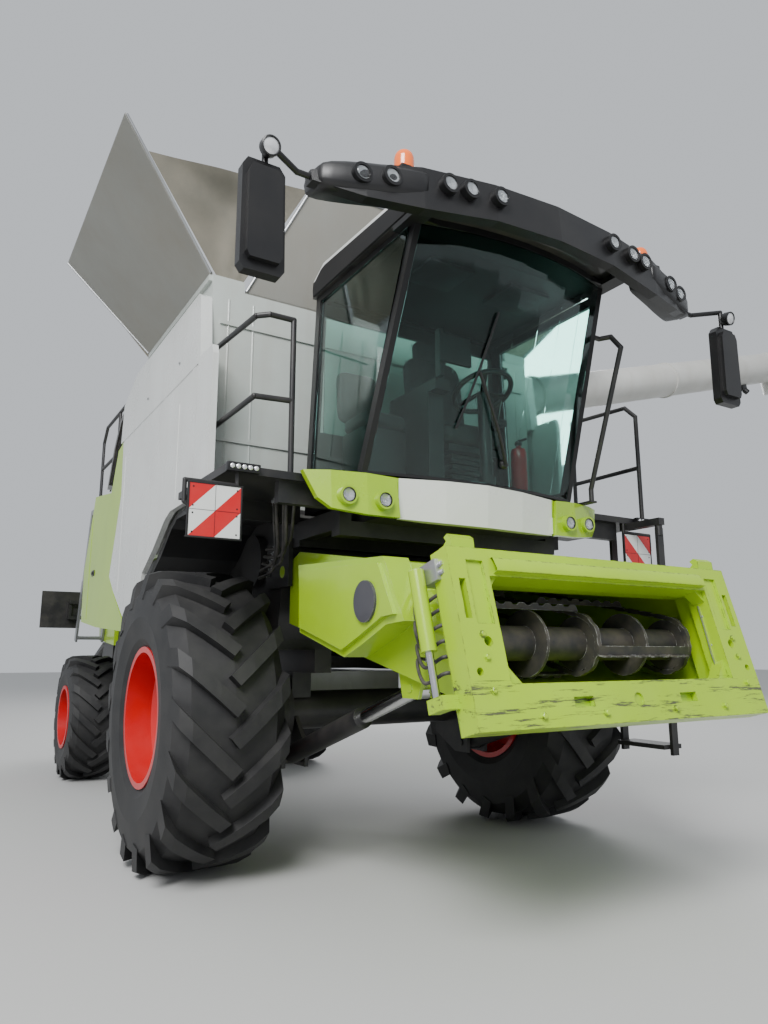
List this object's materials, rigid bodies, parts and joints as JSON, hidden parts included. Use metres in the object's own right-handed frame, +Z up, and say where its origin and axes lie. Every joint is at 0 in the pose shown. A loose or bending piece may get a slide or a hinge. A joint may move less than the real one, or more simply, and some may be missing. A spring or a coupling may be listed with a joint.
{
  "type": "combine harvester",
  "caption": "Wheeled combine harvester with a glazed cab, open grain tank panels, a swung-out unloading auger and a feeder house without its header.",
  "frame": {"origin": "under the middle of the bounding box, on the ground the wheels stand on", "axes": "+X is the machine's left side, +Y runs to its rear, +Z is up"},
  "size_m": [8.647, 8.7428, 5.2458],
  "materials": {
    "lime_paint": "gloss lime green paint",
    "pale_panel": "gloss off-white panel",
    "tank_paint": "gloss grey-green paint",
    "flap_sheet": "dusty grey sheet",
    "canvas": "dusty coated canvas",
    "black_plastic": "matt black plastic",
    "dark_frame": "satin dark grey paint",
    "tyre_rubber": "dusty rubber",
    "red_rim": "gloss red paint",
    "bare_steel": "bare steel",
    "auger_paint": "satin pale grey paint",
    "tinted_glass": "green tinted glass",
    "amber_lens": "amber lens",
    "lamp_lens": "clear lamp lens",
    "seat_cloth": "dark seat cloth",
    "engine_iron": "painted iron",
    "hard_chrome": "polished rod"
  },
  "bodies": {
    "root": {"chassis": "dark_frame", "front_axle": "dark_frame", "rear_axle": "dark_frame", "thresher_body": "dark_frame", "cleaning_shoe": "pale_panel", "engine_block": "engine_iron", "grain_tank": "tank_paint", "tank_side_bands": "pale_panel", "engine_housing": "pale_panel", "rear_hood": "lime_paint", "straw_chopper": "dark_frame", "rear_lights": "black_plastic", "rear_ladder": "bare_steel", "engine_deck_rails": "dark_frame", "tank_corner_canvas": "canvas", "wheel_arches": "black_plastic", "cab_frame": "black_plastic", "cab_roof": "pale_panel", "cab_visor": "black_plastic", "work_lamps": "lamp_lens", "windscreen": "tinted_glass", "cab_glass": "tinted_glass", "cab_seats": "seat_cloth", "cab_controls": "black_plastic", "cab_fascia": "lime_paint", "platform": "dark_frame", "handrails": "dark_frame", "mirrors": "black_plastic", "beacons": "amber_lens", "marker_plates": "red_rim", "auger_turret": "auger_paint"},
    "feeder": {"feeder_house": "lime_paint", "feeder_chains": "dark_frame", "feeder_drive_cover": "lime_paint"},
    "header_frame": {"header_frame": "lime_paint"},
    "tilt_rod": {"tilt_rod": "hard_chrome"},
    "lift_barrels": {"lift_barrels": "dark_frame"},
    "lift_rods": {"lift_rods": "hard_chrome"},
    "auger": {"auger_tube": "auger_paint"},
    "flap_right": {"tank_flap_right": "flap_sheet"},
    "flap_left": {"tank_flap_left": "flap_sheet"},
    "flap_front": {"tank_flap_front": "flap_sheet"},
    "flap_rear": {"tank_flap_rear": "flap_sheet"},
    "cab_door": {"cab_door": "black_plastic", "cab_door_glass": "tinted_glass"},
    "access_ladder": {"access_ladder": "dark_frame"},
    "rear_ladder_foot": {"rear_ladder_foot": "bare_steel"},
    "panel_right_front": {"side_panel_right_front": "pale_panel"},
    "panel_right_rear": {"side_panel_right_rear": "lime_paint"},
    "panel_left_front": {"side_panel_left_front": "pale_panel"},
    "panel_left_rear": {"side_panel_left_rear": "lime_paint"},
    "knuckle_right": {"steering_knuckle_right": "dark_frame"},
    "knuckle_left": {"steering_knuckle_left": "dark_frame"},
    "steering_rod": {"steering_rod": "hard_chrome"},
    "front_wheel_right": {"front_tyre_right": "tyre_rubber", "front_rim_right": "red_rim"},
    "front_wheel_left": {"front_tyre_left": "tyre_rubber", "front_rim_left": "red_rim"},
    "rear_wheel_right": {"rear_wheel_right": "tyre_rubber"},
    "rear_wheel_left": {"rear_wheel_left": "tyre_rubber"}
  },
  "joints": [
    {"name": "front_wheel_right_spin", "type": "hinge", "parent": "root", "child": "front_wheel_right", "pos_m": [-3.57406, -1.87858, 0.92], "axis": [1, 0, 0], "continuous": true},
    {"name": "front_wheel_left_spin", "type": "hinge", "parent": "root", "child": "front_wheel_left", "pos_m": [-0.82406, -1.87858, 0.92], "axis": [1, 0, 0], "continuous": true},
    {"name": "steer_right", "type": "hinge", "parent": "root", "child": "knuckle_right", "pos_m": [-3.09906, 2.12142, 0.65], "axis": [0, 0, 1], "range_deg": [-36, 36]},
    {"name": "steer_left", "type": "hinge", "parent": "root", "child": "knuckle_left", "pos_m": [-1.29906, 2.12142, 0.65], "axis": [0, 0, 1], "range_deg": [-36, 36]},
    {"name": "steering_rod_slide", "type": "slide", "parent": "root", "child": "steering_rod", "axis": [1, 0, 0], "range_m": [-0.12, 0.12]},
    {"name": "rear_wheel_right_spin", "type": "hinge", "parent": "knuckle_right", "child": "rear_wheel_right", "pos_m": [-3.46906, 2.12142, 0.65], "axis": [1, 0, 0], "continuous": true},
    {"name": "rear_wheel_left_spin", "type": "hinge", "parent": "knuckle_left", "child": "rear_wheel_left", "pos_m": [-0.92906, 2.12142, 0.65], "axis": [1, 0, 0], "continuous": true},
    {"name": "feeder_lift", "type": "hinge", "parent": "root", "child": "feeder", "pos_m": [-2.19906, -2.20858, 1.84], "axis": [1, 0, 0], "range_deg": [-5, 20]},
    {"name": "frame_tilt", "type": "hinge", "parent": "feeder", "child": "header_frame", "pos_m": [-2.19906, -4.34476, 1.09085], "axis": [0, -0.9659, 0.2588], "range_deg": [-3.5, 3.5]},
    {"name": "tilt_rod_slide", "type": "slide", "parent": "feeder", "child": "tilt_rod", "axis": [0, 0.2588, 0.9659], "range_m": [-0.08, 0.08]},
    {"name": "lift_barrel_pivot", "type": "hinge", "parent": "root", "child": "lift_barrels", "pos_m": [-1.44906, -2.09858, 0.65], "axis": [1, 0, 0], "range_deg": [-5, 16]},
    {"name": "lift_rod_slide", "type": "slide", "parent": "lift_barrels", "child": "lift_rods", "axis": [0, -0.9534, 0.3018], "range_m": [-0.42, 0.12]},
    {"name": "auger_swing", "type": "hinge", "parent": "root", "child": "auger", "pos_m": [-0.49406, -1.57858, 3.715], "axis": [0.1232, -0.1182, -0.9853], "range_deg": [-90, 0]},
    {"name": "flap_right_fold", "type": "hinge", "parent": "root", "child": "flap_right", "pos_m": [-3.63136, -1.37858, 3.894], "axis": [0, -1, 0], "range_deg": [-126, 0], "deforming": ["tank_corner_canvas"]},
    {"name": "flap_left_fold", "type": "hinge", "parent": "root", "child": "flap_left", "pos_m": [-0.76676, -1.37858, 3.894], "axis": [0, 1, 0], "range_deg": [-126, 0]},
    {"name": "flap_front_fold", "type": "hinge", "parent": "root", "child": "flap_front", "pos_m": [-2.19906, -2.11358, 3.81], "axis": [1, 0, 0], "range_deg": [-98, 0]},
    {"name": "flap_rear_fold", "type": "hinge", "parent": "root", "child": "flap_rear", "pos_m": [-2.19906, -0.37358, 3.81], "axis": [-1, 0, 0], "range_deg": [-98, 0]},
    {"name": "cab_door_swing", "type": "hinge", "parent": "root", "child": "cab_door", "pos_m": [-1.33306, -2.50158, 3], "axis": [0, 0, 1], "range_deg": [0, 70]},
    {"name": "access_ladder_swing", "type": "hinge", "parent": "root", "child": "access_ladder", "pos_m": [-0.62906, -3.29558, 1.4], "axis": [0, 0, -1], "range_deg": [0, 80]},
    {"name": "rear_ladder_slide", "type": "slide", "parent": "root", "child": "rear_ladder_foot", "axis": [0, 0.3017, -0.9534], "range_m": [0, 0.66]},
    {"name": "panel_right_front_lift", "type": "hinge", "parent": "root", "child": "panel_right_front", "pos_m": [-3.69306, -1.27858, 3.204], "axis": [0, 1, 0], "range_deg": [0, 70]},
    {"name": "panel_right_rear_swing", "type": "hinge", "parent": "root", "child": "panel_right_rear", "pos_m": [-3.67906, 1.56142, 2.2], "axis": [0, 0, -1], "range_deg": [0, 95]},
    {"name": "panel_left_front_lift", "type": "hinge", "parent": "root", "child": "panel_left_front", "pos_m": [-0.70506, -1.27858, 3.204], "axis": [0, -1, 0], "range_deg": [0, 70]},
    {"name": "panel_left_rear_swing", "type": "hinge", "parent": "root", "child": "panel_left_rear", "pos_m": [-0.71906, 1.56142, 2.2], "axis": [0, 0, 1], "range_deg": [0, 95]}
  ],
  "couplings": [
    {"joint": "steer_left", "follows": "steer_right", "ratio": 1},
    {"joint": "steering_rod_slide", "follows": "steer_right", "m_per_rad": -0.185},
    {"joint": "tilt_rod_slide", "follows": "frame_tilt", "m_per_rad": -1.03},
    {"joint": "lift_barrel_pivot", "follows": "feeder_lift", "ratio": 0.76},
    {"joint": "lift_rod_slide", "follows": "feeder_lift", "m_per_rad": -1.135},
    {"joint": "flap_left_fold", "follows": "flap_right_fold", "ratio": 1},
    {"joint": "flap_front_fold", "follows": "flap_right_fold", "ratio": 0.777},
    {"joint": "flap_rear_fold", "follows": "flap_right_fold", "ratio": 0.777}
  ]
}
